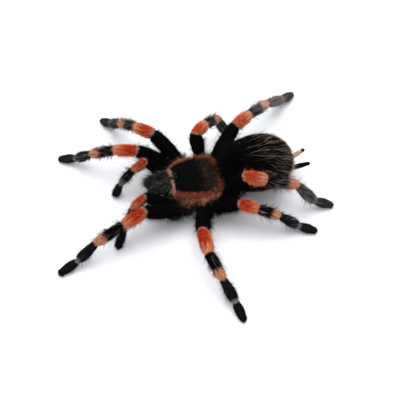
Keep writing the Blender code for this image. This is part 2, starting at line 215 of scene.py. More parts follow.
def ballGrid(columns, rows):  # directions all round, from the rear end to the front
    tilts = (np.arange(rows) + 0.5) / rows * math.pi
    turns = np.arange(columns) / columns * math.tau
    return np.array([[(math.sin(a) * math.cos(b), math.cos(a), math.sin(a) * math.sin(b)) for b in turns]
                     for a in tilts])


def ball(centre, radii, columns=20, rows=12):
    points = np.array(centre) + ballGrid(columns, rows) * np.array(radii)
    return points.reshape(-1, 3), ringFaces(rows, columns)


def roundBody(name, columns, rows, smoothing):  # a round solid, read by rays from its middle and smoothed
    centre = middles[name]
    grid = ballGrid(columns, rows)
    reach = np.array([[cadTrees[name].ray_cast(Vector(centre), Vector(d))[3] or 1.0 for d in row]
                      for row in grid])
    for _ in range(smoothing):
        padded = np.vstack([reach[:1], reach, reach[-1:]])
        around = (np.roll(reach, 1, 1) + np.roll(reach, -1, 1) + padded[:-2] + padded[2:]) / 4
        reach = reach * 0.5 + around * 0.5
    return (centre + grid * reach[..., None]).reshape(-1, 3), ringFaces(rows, columns)


def addThing(name, data):
    thing = bpy.data.objects.new(name, data)
    bpy.context.scene.collection.objects.link(thing)
    return thing


def makeMesh(name, points, faces):
    mesh = bpy.data.meshes.new(name)
    mesh.from_pydata((np.asarray(points) * mm).tolist(), [], [tuple(int(i) for i in f) for f in faces])
    bm = bmesh.new()
    bm.from_mesh(mesh)
    bmesh.ops.recalc_face_normals(bm, faces=bm.faces)
    bm.to_mesh(mesh)
    bm.free()
    mesh.shade_smooth()
    return addThing(name, mesh)


spinneretShape = {
    "rootDepth": 1.2,  # the root's points lie this near the front end
    "tipDepth": 0.2,  # and the tip's this near the rear end
    "ringPoints": 16,
    # shares of the length and radii, from inside the abdomen to the blunt tip
    "outline": [(-0.25, 1.2), (0.0, 1.2), (0.3, 1.12), (0.42, 0.95), (0.5, 1.02), (0.72, 1.0),
                (0.78, 0.82), (0.84, 0.86), (0.95, 0.78), (1.0, 0.5)],
}


def spinneretTube(name):
    points = cad[name][0]
    low, high = boxes[name]
    root = points[points[:, 1] < low[1] + spinneretShape["rootDepth"]].mean(0)
    tip = points[points[:, 1] > high[1] - spinneretShape["tipDepth"]].mean(0)
    along, upward, count = unit(tip - root), np.array([0, 0, 1.0]), spinneretShape["ringPoints"]
    return tube([ringPoints(root + (tip - root) * place, along, upward, size, size, count)
                 for place, size in spinneretShape["outline"]])


# columns, rows and steps of smoothing of the round bodies
bodyGrids = {"abdomen": (72, 48, 8), "chelicera_left": (40, 30, 3), "chelicera_right": (40, 30, 3)}
# soft lobes that join the solids: left, back and up from where each starts, then its half sizes
bodyLobes = {
    "head": ((0, 1.0, 0.4), (3.2, 3.6, 2.1)),  # joins the chelicerae to the body
    "waist": ((0, 0.4, 0), (1.1, 3.2, 1.1)),  # joins the abdomen to the body
    "back": ((0, 0, 3.4), (7.4, 8.8, 1.3)),  # closes the body's top
}
# the same between the hips, out, back and up from the carapace's middle
hipLobes = [((4.65, -11.8, -3.2), (1.4, 1.7, 1.4)), ((11.2, -5.0, -3.9), (2.5, 1.4, 1.4))]


def lobeParts():
    starts = {
        "head": (bodyX, boxes["chelicera_left"][1][1], middles["chelicera_left"][2]),
        "waist": middles["pedicel"],
        "back": (bodyX, carapaceMiddle[1], boxes["sternum_and_coxae"][0][2]),
    }
    lobes = [ball(np.add(starts[name], offset), radii) for name, (offset, radii) in bodyLobes.items()]
    for side in (1, -1):
        lobes += [ball(carapaceMiddle + np.array(offset) * [side, 1, 1], radii) for offset, radii in hipLobes]
    return lobes


def fleshParts():
    parts = [limbTube(limb) for limb in limbs]
    parts += [roundBody(name, *grid) for name, grid in bodyGrids.items()]
    parts += [cad["sternum_and_coxae"], cad["pedicel"]]
    parts += [spinneretTube("spinneret_left"), spinneretTube("spinneret_right")]
    return parts + lobeParts()


def joinParts(parts):
    points, faces, start = [], [], 0
    for p, f in parts:
        points.append(p)
        faces += [tuple(int(i) + start for i in face) for face in f]
        start += len(p)
    return np.concatenate(points), faces


def skinArrays():
    rough = makeMesh("roughSkin", *joinParts(fleshParts()))
    remesh = rough.modifiers.new("remesh", "REMESH")
    remesh.mode = "VOXEL"
    remesh.voxel_size = skinShape["voxel"] * mm
    smooth = rough.modifiers.new("smooth", "SMOOTH")
    smooth.factor = 0.5
    smooth.iterations = skinShape["smoothSteps"]
    mesh = rough.evaluated_get(bpy.context.evaluated_depsgraph_get()).to_mesh()
    points = readArray(mesh.vertices, "co", 3) / mm
    quads = readArray(mesh.loops, "vertex_index", 1, int).reshape(-1, 4)
    bpy.data.objects.remove(rough)
    return points, quads


def vertexNormals(points, quads):
    corners = points[quads]
    faceNormals = np.cross(corners[:, 2] - corners[:, 0], corners[:, 3] - corners[:, 1])
    normals = np.zeros_like(points)
    for k in range(4):
        np.add.at(normals, quads[:, k], faceNormals)
    return unit(normals)


skinPoints, skinQuads = skinArrays()
print("skin remeshed:", len(skinPoints), "points")

# what each point of the animal belongs to
regionNames = ["femur", "patella", "tibia", "metatarsus", "tarsus", "underside", "chelicera", "pedicel",
               "abdomen", "spinneret", "carapace"]
region = {name: i for i, name in enumerate(regionNames)}


def regionOfNode(name):
    for part in (name.split("_")[0], name.split("_")[-1]):
        if part in region:
            return region[part]
    return region["underside"]


nodeList = fleshNodes + ["carapace"]
nodeRegion = np.array([regionOfNode(name) for name in nodeList])
nodeLimb = np.full(len(nodeList), -1)
nodeSegment = np.full(len(nodeList), -1)
for limbNumber, limb in enumerate(limbs):
    for segmentNumber, name in enumerate(limb["names"]):
        nodeLimb[nodeList.index(name)] = limbNumber
        nodeSegment[nodeList.index(name)] = segmentNumber


def nearestNodes(points):  # which flesh node each point is nearest to
    owner = np.concatenate([np.full(len(cad[name][1]), i) for i, name in enumerate(fleshNodes)])
    tree = treeOf(*joinParts([cad[name] for name in fleshNodes]))
    return np.array([owner[tree.find_nearest(Vector(p))[2]] for p in points])


def describe(points, nodeIds):  # region, share along and turn from the top, of points on known nodes
    t = np.zeros(len(points))
    turn = np.zeros(len(points))
    for i in np.unique(nodeIds):
        chosen = nodeIds == i
        p = points[chosen]
        if nodeLimb[i] >= 0:
            limb, s = limbs[nodeLimb[i]], nodeSegment[i]
            along, dorsal = limb["alongs"][s], limb["dorsals"][s]
            offset = p - limb["joints"][s]
            start, end = limb["planes"][s], limb["planes"][s + 1]
            passed = offset @ start / (along @ start)  # along the segment, from the slanted joint behind
            left = (limb["joints"][s + 1] - p) @ end / (along @ end)
            whole = np.maximum(passed + left, 0.35 * limb["lengths"][s])  # not too short inside a bend
            t[chosen] = passed / whole
            turn[chosen] = np.arctan2(offset @ np.cross(along, dorsal), offset @ dorsal)
        else:
            low, high = boxes[nodeList[i]]
            offset = p - middles[nodeList[i]]
            t[chosen] = (p[:, 1] - low[1]) / (high[1] - low[1])
            turn[chosen] = np.arctan2(offset[:, 0], offset[:, 2])
    return {"points": points, "node": nodeIds, "region": nodeRegion[nodeIds], "t": np.clip(t, 0, 1),
            "turn": turn, "limb": nodeLimb[nodeIds]}


coatDepth = {"femur": 0.24, "patella": 0.25, "tibia": 0.26, "metatarsus": 0.26, "tarsus": 0.20,
             "underside": 0.28, "chelicera": 0.28, "pedicel": 0.2, "abdomen": 0.42, "spinneret": 0.04,
             "carapace": 0.30}
foldShape = {"depth": 0.26, "width": 0.34, "reach": 4.0}  # the soft fold round each joint
floorGap = 0.03  # least height of the skin over the floor


def relax(values, quads, steps):  # evens out a value over neighbouring points
    edges = np.concatenate([quads[:, [0, 1]], quads[:, [1, 2]], quads[:, [2, 3]], quads[:, [3, 0]]])
    count = np.bincount(edges.ravel(), minlength=len(values)).astype(float)
    for _ in range(steps):
        total = np.bincount(edges[:, 0], values[edges[:, 1]], len(values))
        total += np.bincount(edges[:, 1], values[edges[:, 0]], len(values))
        values = 0.5 * values + 0.5 * total / np.maximum(count, 1)
    return values


def foldDepth(points):  # how deep the fold of the nearest joint is at each point
    fromJoint = np.full(len(points), 2 * foldShape["reach"])
    for limb in limbs:
        for joint, before, after in zip(limb["joints"][1:-1], limb["alongs"], limb["alongs"][1:]):
            offset = points - joint
            near = np.linalg.norm(offset, axis=1) < foldShape["reach"]
            fromJoint[near] = np.minimum(fromJoint[near], np.abs(offset[near] @ unit(before + after)))
    return foldShape["depth"] * np.exp(-(fromJoint / foldShape["width"]) ** 2)


def drawnIn(points, quads, nodeIds):  # the skin lies inside the solids by the coat's depth
    info = describe(points, nodeIds)
    depth = relax(np.array([coatDepth[name] for name in regionNames])[info["region"]], quads, 6)
    depth += foldDepth(points) * (info["limb"] >= 0)
    points = points - vertexNormals(points, quads) * depth[:, None]
    points[:, 2] = np.maximum(points[:, 2], floorGap)
    return points


skinNodes = nearestNodes(skinPoints)
skinPoints = drawnIn(skinPoints, skinQuads, skinNodes)
skin = describe(skinPoints, skinNodes)
print("skin drawn in by the coat's depth")

# carapace: a shield of its own, with its pit, grooves and raised head
carapaceShape = {
    "grid": (128, 72, 3),  # columns, rows and steps of smoothing
    "pitAt": 0.66,  # share of the length from the front
    "pitSize": (1.0, 0.55),  # half width and half length
    "pitDepth": 0.55,
    "grooveDepth": 0.16,
    "grooves": 9,
    "headGroove": 0.20,
    "headGrooveTurn": 0.62,  # turn of the two head grooves from straight ahead
    "headGrooveWidth": 0.09,
    # distances from the pit where a groove starts, is whole, fades and ends
    "grooveReach": (1.0, 3.0, 6.0, 9.5),
    "headGrooveReach": (1.2, 4.0, 8.0, 12.0),
}
carapaceLength = np.ptp(boxes["carapace"][:, 1])
pitPlace = np.array([bodyX, boxes["carapace"][0][1] + carapaceLength * carapaceShape["pitAt"], 0])


def between(x, start, whole, fading, end):
    return smoothStep(start, whole, x) * smoothStep(end, fading, x)


def carapaceArrays():
    shape = carapaceShape
    points, faces = roundBody("carapace", *shape["grid"])
    normals = unit(points - carapaceMiddle)
    points = points - normals * coatDepth["carapace"]
    x, y = (points - pitPlace)[:, :2].T
    way, distance = np.arctan2(x, -y), np.hypot(x, y)  # the way is 0 straight ahead
    sink = shape["pitDepth"] * np.exp(-(x / shape["pitSize"][0]) ** 2 - (y / shape["pitSize"][1]) ** 2)
    ripple = np.abs(np.cos(way * shape["grooves"] / 2)) ** 8
    sink += shape["grooveDepth"] * ripple * between(distance, *shape["grooveReach"])
    headWay = np.exp(-((np.abs(way) - shape["headGrooveTurn"]) / shape["headGrooveWidth"]) ** 2)
    sink += shape["headGroove"] * headWay * between(distance, *shape["headGrooveReach"])
    points[:, 2] -= sink * smoothStep(0.0, 0.6, normals[:, 2])  # on the upper side alone
    return points, faces


carapacePoints, carapaceFaces = carapaceArrays()
carapace = describe(carapacePoints, np.full(len(carapacePoints), nodeList.index("carapace")))
print("carapace shaped")


# markings: one rule for skin and hair alike

def fromScreen(colour):  # a colour as picked on a screen, made linear
    c = np.asarray(colour, float)
    return np.where(c <= 0.04045, c / 12.92, ((c + 0.055) / 1.055) ** 2.4)


coatColours = {  # as picked on a screen
    "black": (0.040, 0.038, 0.040),
    "softBlack": (0.070, 0.066, 0.066),
    "smoke": (0.20, 0.195, 0.19),
    "ash": (0.46, 0.44, 0.42),
    "haze": (0.76, 0.75, 0.76),
    "red": (0.76, 0.225, 0.105),
    "orange": (0.92, 0.43, 0.24),
    "peach": (0.96, 0.71, 0.56),
    "band": (0.98, 0.71, 0.57),
    "dullBand": (0.52, 0.45, 0.40),
    "ring": (0.72, 0.58, 0.48),
    "paleRing": (0.60, 0.585, 0.57),
    "rim": (0.62, 0.28, 0.19),
    "rimLight": (0.86, 0.56, 0.44),
    "brow": (0.84, 0.64, 0.58),
    "jaw": (0.150, 0.146, 0.148),
    "hip": (0.20, 0.165, 0.15),
    "olive": (0.17, 0.135, 0.105),
    "tan": (0.78, 0.69, 0.58),
    "paleLine": (0.89, 0.75, 0.68),
}
colourOf = {name: fromScreen(value) for name, value in coatColours.items()}
rimShape = {
    "side": (0.81, 0.93),  # shares of the half width between which the margin sets in
    "rear": (0.84, 1.02),  # shares of the length, the same
    "corner": 0.16,  # how much further ahead the brown reaches at the rear corners
    "streaks": 11,
    "streakDepth": 0.03,
    "softness": [(0.03, 1.8, 5), (0.02, 4.5, 6)],  # height, size and seed of the noises at its edge
    "patches": (0.05, 2.4, 7),  # the same at its rear edge alone
}
# in the limbs' order, from the first leg on the left to the palp on the right
paleHairAndLightShares = np.array([0.02, 0.18, 0.0, 0.42, 0.10, 0.40, 0.45, 1.0, 0.02, 0.05])  # how much pale hair each limb has; on the right legs, away from the camera, it is also painted light that makes them lighter
bandStarts = np.array([0.60, 0.52, 0.58, 0.49, 0.58, 0.49, 0.62, 0.53, 0.70, 0.62])  # of the tibia's band
markShape = {  # shares of a segment's length between which a mark sets in
    "thighRing": (0.968, 0.980),
    "kneeRing": (0.05, 0.03),
    "kneePeach": (0.52, 1.0),
    "kneeSides": (1.3, 2.2),  # turn from the top
    "kneeLines": 9,
    "flame": (1.35, 0.75),  # turn from the top
    "flameTaper": (0.35, 0.95),
    "bandEdge": (-0.03, 0.10),  # from the band's start
    "bandLines": 11,
    "ankleRing": (0.84, 0.91),
    "footRing": (0.08, 0.03),
    "spinneretBlack": {"left": 0.36, "right": 0.84},
    "olive": (0.52, 0.74),
    "brow": (0.06, 0.035),
    "browEnds": (6.8, 5.4),  # millimetres from the middle
    "noise": (1.6, 11),  # size and seed
    "wobble": 0.010,
}
# painted light: the right legs take more of the pale haze than the left ones, on top of their pale hair
hazeAndLightShares = {"left": 0.02, "right": 0.12, "band": 0.2, "metatarsus": (0.17, 0.33), "tarsus": 0.15}


def painted(name, marks):
    return np.repeat(colourOf[name][None], len(marks["t"]), 0)


def mixed(base, name, amount):
    return base + (colourOf[name] - base) * np.clip(amount, 0, 1)[:, None]


def fromMiddle(info):
    return np.abs(info["points"][:, 0] - bodyX)


def paleHairAndLightOf(info):
    return np.where(info["limb"] >= 0, paleHairAndLightShares[info["limb"]], 0.0)


def isPalp(info):
    return info["limb"] >= 2 * limbKinds.index("palp")


def isRight(info):  # of limbs alone
    return info["limb"] % 2 == 1


def halfWidthAt(y):  # the carapace's half width at places along it
    stations = np.linspace(carapacePoints[:, 1].min(), carapacePoints[:, 1].max(), 30)
    reach = [np.abs(carapacePoints[np.abs(carapacePoints[:, 1] - station) < 0.5][:, 0] - bodyX).max()
             for station in stations]
    return np.interp(y, stations, reach)


def rimAmount(info):  # 0 on the black middle of the carapace, 1 on its hairy margin
    points = info["points"]
    low, high = boxes["carapace"]
    across = fromMiddle(info) / halfWidthAt(points[:, 1])
    offset = points - pitPlace
    way = np.arctan2(offset[:, 0], offset[:, 1])
    streak = np.sin(way * rimShape["streaks"]) * 0.5 + np.sin(way * rimShape["streaks"] * 2.7 + 1) * 0.5
    soft = sum(height * sphereNoise(points, size, seed) for height, size, seed in rimShape["softness"])
    height, size, seed = rimShape["patches"]
    t = (points[:, 1] - low[1]) / (high[1] - low[1]) + rimShape["corner"] * across ** 2
    t = t + rimShape["streakDepth"] * streak + soft + height * sphereNoise(points, size, seed)
    return np.maximum(smoothStep(*rimShape["side"], across + soft), smoothStep(*rimShape["rear"], t))


def femurColour(m):
    return mixed(painted("black", m), "ring", smoothStep(*markShape["thighRing"], m["t"]) * 0.9)


def patellaColour(m):  # a red flame on an orange knee, peach towards its end and its sides
    t, side, pale, palp = m["t"], m["side"], m["pale"], isPalp(m)
    lines = np.sin(m["turn"] * markShape["kneeLines"] + 2 * m["noise"])
    taper = 1.1 * smoothStep(*markShape["flameTaper"], t)
    c = mixed(painted("orange", m), "red", smoothStep(*markShape["flame"], side + taper + 0.22 * lines))
    c = mixed(c, "orange", pale * 0.4)
    peach = smoothStep(*markShape["kneePeach"], t + 0.12 * lines + 0.14 * pale)
    c = mixed(c, "peach", peach * (0.8 + 0.5 * pale))
    c = mixed(c, "peach", smoothStep(*markShape["kneeSides"], side + 0.2 * lines) * 0.75)
    c = mixed(c, "dullBand", palp * 0.15)
    c = mixed(c, "ring", smoothStep(*markShape["kneeRing"], t))
    return mixed(c, "hip", palp * smoothStep(0.9, 1.8, side) * 0.7)


def tibiaColour(m):  # black, with a peach band towards its end
    lines = np.sin(m["turn"] * markShape["bandLines"] + 3 * m["noise"])
    start = bandStarts[m["limb"]]
    near, far = markShape["bandEdge"]
    band = smoothStep(start + near, start + far, m["t"] + 0.035 * lines)
    # painted light: more haze on the right legs than on the left
    haze = m["pale"] * np.where(isRight(m), hazeAndLightShares["right"], hazeAndLightShares["left"])
    c = mixed(painted("black", m), "haze", haze)
    c = np.where(isPalp(m)[:, None], mixed(c, "dullBand", band), mixed(c, "band", band))
    c = mixed(c, "haze", band * np.minimum(m["pale"], 1) * hazeAndLightShares["band"])
    return mixed(c, "softBlack", smoothStep(2.1, 2.7, m["side"]) * 0.6)


def metatarsusColour(m):
    near, far = hazeAndLightShares["metatarsus"]
    haze = 0.01 + m["pale"] * (near + far * smoothStep(0.4, 0.9, m["t"]))
    c = mixed(painted("softBlack", m), "haze", haze)
    return mixed(c, "paleRing", smoothStep(*markShape["ankleRing"], m["t"]))


def tarsusColour(m):
    c = mixed(painted("softBlack", m), "haze", 0.006 + m["pale"] * hazeAndLightShares["tarsus"])
    return mixed(c, "paleRing", smoothStep(*markShape["footRing"], m["t"]) * 0.9)


def undersideColour(m):
    return mixed(painted("softBlack", m), "hip", 0.6 + 0.3 * m["noise"])


def cheliceraColour(m):
    return mixed(painted("jaw", m), "softBlack", 0.35 + 0.3 * m["noise"])


def abdomenColour(m):
    return mixed(painted("black", m), "softBlack", smoothStep(0.2, 0.9, m["t"]))


def spinneretColour(m):  # tan, with a black tip that is longer on the left one
    tips = markShape["spinneretBlack"]
    blackFrom = np.where(m["points"][:, 0] < bodyX, tips["right"], tips["left"])
    return mixed(painted("tan", m), "black", smoothStep(blackFrom - 0.05, blackFrom + 0.05, m["t"]))


def carapaceColour(m):  # black, olive towards the rear, with a reddish margin and a pale brow
    t, noise, rim = m["t"], m["noise"], rimAmount(m)
    olive = smoothStep(*markShape["olive"], t + 0.05 * noise)
    c = mixed(painted("black", m), "olive", olive * (0.8 + 0.4 * noise))
    c = mixed(c, "rim", rim * (0.9 + 0.2 * noise))
    c = mixed(c, "rimLight", rim * smoothStep(0.1, 0.9, noise) * 0.3)
    brow = smoothStep(*markShape["brow"], t - 0.012 * np.abs(noise))
    return mixed(c, "brow", brow * smoothStep(*markShape["browEnds"], fromMiddle(m)))


regionPaints = {
    "femur": femurColour, "patella": patellaColour, "tibia": tibiaColour, "metatarsus": metatarsusColour,
    "tarsus": tarsusColour, "underside": undersideColour, "pedicel": undersideColour,
    "chelicera": cheliceraColour, "abdomen": abdomenColour, "spinneret": spinneretColour,
    "carapace": carapaceColour,
}


def markings(info, wander=0.0):  # the colour at each point, with marks moved along by the wander
    noise = sphereNoise(info["points"], *markShape["noise"])
    marks = {"points": info["points"], "t": info["t"] + wander + markShape["wobble"] * noise,
             "turn": info["turn"], "side": np.abs(info["turn"]), "limb": info["limb"], "noise": noise,
             "pale": paleHairAndLightOf(info) * (1 + 0.3 * noise)}
    colour = np.zeros_like(info["points"])
    for name, paint in regionPaints.items():
        chosen = info["region"] == region[name]
        if chosen.any():
            colour[chosen] = paint({key: value[chosen] for key, value in marks.items()})
    return np.clip(colour, 0.001, 1)


# materials

def newMaterial(name):
    material = bpy.data.materials.new(name)
    material.use_nodes = True
    shader = material.node_tree.nodes["Principled BSDF"]
    return material, material.node_tree.nodes, material.node_tree.links, shader


def addBump(tree, links, shader, source, strength, depth):
    bump = tree.new("ShaderNodeBump")
    bump.inputs["Strength"].default_value = strength
    bump.inputs["Distance"].default_value = depth * mm
    links.new(source.outputs["Fac"], bump.inputs["Height"])
    links.new(bump.outputs["Normal"], shader.inputs["Normal"])


def objectNoise(tree, links, scale, detail, roughness=0.6):
    place = tree.new("ShaderNodeTexCoord")
    noise = tree.new("ShaderNodeTexNoise")
    noise.inputs["Scale"].default_value = scale
    noise.inputs["Detail"].default_value = detail
    noise.inputs["Roughness"].default_value = roughness
    links.new(place.outputs["Object"], noise.inputs["Vector"])
    return noise


def addRamp(tree, links, source, target, stops):  # colours by the height of a noise
    ramp = tree.new("ShaderNodeValToRGB")
    for element, (place, colour) in zip(ramp.color_ramp.elements, stops):
        element.position = place
        element.color = (*colour, 1)
    links.new(source.outputs["Fac"], ramp.inputs["Fac"])
    links.new(ramp.outputs["Color"], target)


# noise scales are counts to the metre; a bump is its strength and its depth
skinFinish = {"roughness": 0.95, "gloss": 0.03, "patch": 420, "grain": 2600, "bump": (0.8, 0.10)}
hairFinish = {"roughness": 0.85, "gloss": 0.05, "patch": 900}
patchLevels = (0.72, 1.28)  # how dark and light the patches of the coat go


def coatedMaterial(name, finish):
    material, tree, links, shader = newMaterial(name)
    colour = tree.new("ShaderNodeAttribute")
    colour.attribute_name = "coatColour"
    patch = objectNoise(tree, links, finish["patch"], 3)
    level = tree.new("ShaderNodeMapRange")
    level.inputs["To Min"].default_value, level.inputs["To Max"].default_value = patchLevels
    links.new(patch.outputs["Fac"], level.inputs["Value"])
    scaled = tree.new("ShaderNodeVectorMath")
    scaled.operation = "SCALE"
    links.new(colour.outputs["Color"], scaled.inputs[0])
    links.new(level.outputs["Result"], scaled.inputs["Scale"])
    links.new(scaled.outputs["Vector"], shader.inputs["Base Color"])
    shader.inputs["Roughness"].default_value = finish["roughness"]
    shader.inputs["Specular IOR Level"].default_value = finish["gloss"]
    if "grain" in finish:
        grain = objectNoise(tree, links, finish["grain"], 4)
        addBump(tree, links, shader, grain, *finish["bump"])
    return material


eyeFinish = {"colour": (0.006, 0.005, 0.005), "warm": (0.016, 0.011, 0.008), "roughness": 0.08,
             "gloss": 0.35, "cloud": 1500}
hornFinish = {"colour": (0.010, 0.006, 0.005), "warm": (0.10, 0.018, 0.008), "roughness": 0.22,
              "streaks": 3000, "bump": (0.3, 0.03)}


def eyeMaterial():
    material, tree, links, shader = newMaterial("eyeGloss")
    cloud = objectNoise(tree, links, eyeFinish["cloud"], 2)
    stops = [(0, eyeFinish["colour"]), (1, eyeFinish["warm"])]
    addRamp(tree, links, cloud, shader.inputs["Base Color"], stops)
    shader.inputs["Roughness"].default_value = eyeFinish["roughness"]
    shader.inputs["Specular IOR Level"].default_value = eyeFinish["gloss"]
    return material


def hornMaterial():
    material, tree, links, shader = newMaterial("fangHorn")
    streak = objectNoise(tree, links, hornFinish["streaks"], 3)
    stops = [(0.35, hornFinish["colour"]), (0.85, hornFinish["warm"])]
    addRamp(tree, links, streak, shader.inputs["Base Color"], stops)
    shader.inputs["Roughness"].default_value = hornFinish["roughness"]
    addBump(tree, links, shader, streak, *hornFinish["bump"])
    return material


def paintPoints(thing, colours):
    layer = thing.data.color_attributes.new("coatColour", "FLOAT_COLOR", "POINT")
    full = np.ones((len(colours), 4), np.float32)
    full[:, :3] = colours
    layer.data.foreach_set("color", full.ravel())


def placePiece(thing, slotName, material, *replaced):
    thing.data.materials.clear()
    thing.data.materials.append(material)
    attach(thing, "root")
    if replaced:
        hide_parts(*replaced)


skinMaterial = coatedMaterial("tarantulaSkin", skinFinish)
hairMaterial = coatedMaterial("tarantulaHair", hairFinish)
skinThing = makeMesh("tarantulaSkin", skinPoints, skinQuads)
paintPoints(skinThing, markings(skin))
placePiece(skinThing, "black_velvet", skinMaterial, *fleshNodes)
carapaceThing = makeMesh("carapaceShield", carapacePoints, carapaceFaces)
paintPoints(carapaceThing, markings(carapace))
placePiece(carapaceThing, "brown_plate", skinMaterial, "carapace")
print("skin and carapace painted")

# eyes, fangs and claws
eyeCluster = {
    "mound": (1.42, 0.92, 0.82),  # half width, half length and height of the mound
    # right-hand eyes: sideways and forward share of the mound, and radius
    "eyes": [(0.30, 0.45, 0.33), (0.74, 0.55, 0.29), (0.80, -0.30, 0.27), (0.45, -0.45, 0.23)],
    "sunk": 0.96,  # share of the mound's size where the eyes' middles are
    "moundGrid": (28, 18),
    "eyeGrid": (18, 12),
}


def makeEyes():
    middle = middles["eye_tubercle"]
    mound = np.array(eyeCluster["mound"])
    points, faces = ball(middle, mound, *eyeCluster["moundGrid"])
    moundThing = makeMesh("eyeMound", points, faces)
    paintPoints(moundThing, np.repeat(colourOf["black"][None], len(points), 0))
    placePiece(moundThing, "eye_black", skinMaterial)
    parts = []
    for aside, ahead, radius in eyeCluster["eyes"]:
        rise = math.sqrt(max(1 - aside ** 2 - ahead ** 2, 0.02))
        for way in (1, -1):
            centre = middle + mound * np.array([way * aside, -ahead, rise]) * eyeCluster["sunk"]
            parts.append(ball(centre, (radius,) * 3, *eyeCluster["eyeGrid"]))
    eyes = makeMesh("eyes", *joinParts(parts))
    placePiece(eyes, "eye_black", eyeMaterial(), "eye_tubercle")


def makeFang(side, material):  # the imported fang, made round
    points, tris = cad[f"fang_{side}"]
    bm = bmesh.new()
    corners = [bm.verts.new(p) for p in points]
    for tri in tris:
        bm.faces.new([corners[i] for i in tri])
    bmesh.ops.remove_doubles(bm, verts=bm.verts, dist=0.002)
    bmesh.ops.dissolve_limit(bm, angle_limit=math.radians(2), verts=bm.verts, edges=bm.edges)
    bm.verts.index_update()
    faces = [[v.index for v in f.verts] for f in bm.faces]
    fang = makeMesh(f"fang{side.title()}", [v.co[:] for v in bm.verts], faces)
    bm.free()
    subdivide = fang.modifiers.new("round", "SUBSURF")
    subdivide.levels = subdivide.render_levels = 2
    mesh = bpy.data.meshes.new_from_object(fang.evaluated_get(bpy.context.evaluated_depsgraph_get()))
    fang.modifiers.clear()
    fang.data = mesh
    mesh.shade_smooth()
    placePiece(fang, "fang_black", material, f"fang_{side}")


clawShape = {
    "length": 1.15, "root": 0.17, "tip": 0.012, "taper": 0.8, "steps": 6, "ringPoints": 8,
    "spread": 0.36, "back": 0.35, "up": 0.25,  # where it starts, from the end of the foot
    "rise": 0.5, "hook": 110,  # its first turn upwards in radians, and how far it bends down in degrees
    "floorGap": 0.04,
}


def clawArrays(limb, way):  # a hook that leaves the foot upwards and bends down
    shape = clawShape
    along, dorsal = limb["alongs"][-1], limb["dorsals"][-1]
    across = np.cross(along, dorsal)
    place = limb["joints"][-1] - along * shape["back"] + across * way * shape["spread"] + dorsal * shape["up"]
    rings = []
    for k in range(shape["steps"] + 1):
        share = k / shape["steps"]
        turn = math.radians(shape["hook"]) * share - shape["rise"]
        heading = unit(along * math.cos(turn) - dorsal * math.sin(turn))
        size = shape["root"] * (1 - share) ** shape["taper"] + shape["tip"]
        rings.append(ringPoints(place, heading, np.cross(heading, across), size, size, shape["ringPoints"]))
        place = place + heading * shape["length"] / shape["steps"]
    points, faces = tube(rings)
    points[:, 2] = np.maximum(points[:, 2], shape["floorGap"])
    return points, faces


def makeClaws(material):  # two on each foot, one on each palp
    parts = [clawArrays(limb, way) for limb in limbs for way in ((0,) if limb["kind"] == "palp" else (1, -1))]
    placePiece(makeMesh("claws", *joinParts(parts)), "fang_black", material)


horn = hornMaterial()
makeEyes()
makeFang("left", horn)
makeFang("right", horn)
makeClaws(horn)
print("eyes, fangs and claws made")

# coat: solid hairs, each a thin bent spike with a closed base
carapaceQuads = np.array([f for f in carapaceFaces if len(f) == 4])
surfaces = {
    "skin": {"info": skin, "quads": skinQuads, "normals": vertexNormals(skinPoints, skinQuads)},
    "carapace": {"info": carapace, "quads": carapaceQuads,
                 "normals": vertexNormals(carapacePoints, carapaceQuads)},
}


# which way the coat lies: left, back and up
layWays = {"chelicera": (0, -0.85, -0.5), "abdomen": (0, 1.0, -0.22), "pedicel": (0, 1.0, 0.3),
           "spinneret": (0, 1.0, 0.3)}
laySpread = {"abdomen": 0.05}  # how much further outwards for each millimetre from the middle
layDroop = {"carapace": 0.12, "underside": 0.0}  # how much further down, where the coat leaves the pit


def wayOf(i, p):  # the coat's way on a node, before it is laid down on the surface
    name = regionNames[nodeRegion[i]]
    if nodeLimb[i] >= 0:
        return limbs[nodeLimb[i]]["alongs"][nodeSegment[i]]
    if name in layDroop:
        way = p - pitPlace
        way[:, 2] = -layDroop[name] * np.abs(p[:, 0] - bodyX)
        return unit(way)
    way = np.repeat([layWays[name]], len(p), 0).astype(float)
    way[:, 0] += laySpread.get(name, 0) * (p[:, 0] - bodyX)
    return way


def lieOf(info, normals):
    ways = np.zeros((len(info["points"]), 3))
    for i in np.unique(info["node"]):
        chosen = info["node"] == i
        ways[chosen] = wayOf(i, info["points"][chosen])
    return unit(ways - normals * (ways * normals).sum(1, keepdims=True))


# the sheet that the coat's patches lie on: cells of the nodes beside the limbs', and their widths
atlasCells = 8
bodyCells = {"abdomen": (0, 6, 2), "carapace": (2, 6, 2), "sternum_and_coxae": (4, 6, 2),
             "chelicera_left": (6, 6, 1), "chelicera_right": (7, 6, 1), "spinneret_left": (6, 7, 1),
             "spinneret_right": (7, 7, 1), "pedicel": (7, 7, 1)}
cellMargin = 0.04  # share of a cell left free at each edge
hairPatch = 0.003  # size of a hair's patch


def atlasPlaces(info):  # each node's skin unrolled like a label, in its own cell of the sheet
    cells = np.zeros((len(nodeList), 3))
    limbCells = ((k % atlasCells, k // atlasCells, 1) for k in range(len(nodeList)))
    for i, name in enumerate(nodeList):
        cells[i] = next(limbCells) if nodeLimb[i] >= 0 else bodyCells[name]
    own = cells[info["node"]]
    label = np.stack([info["t"], info["turn"] / math.tau + 0.5], 1)
    return (own[:, :2] + own[:, 2:] * (cellMargin + (1 - 2 * cellMargin) * label)) / atlasCells


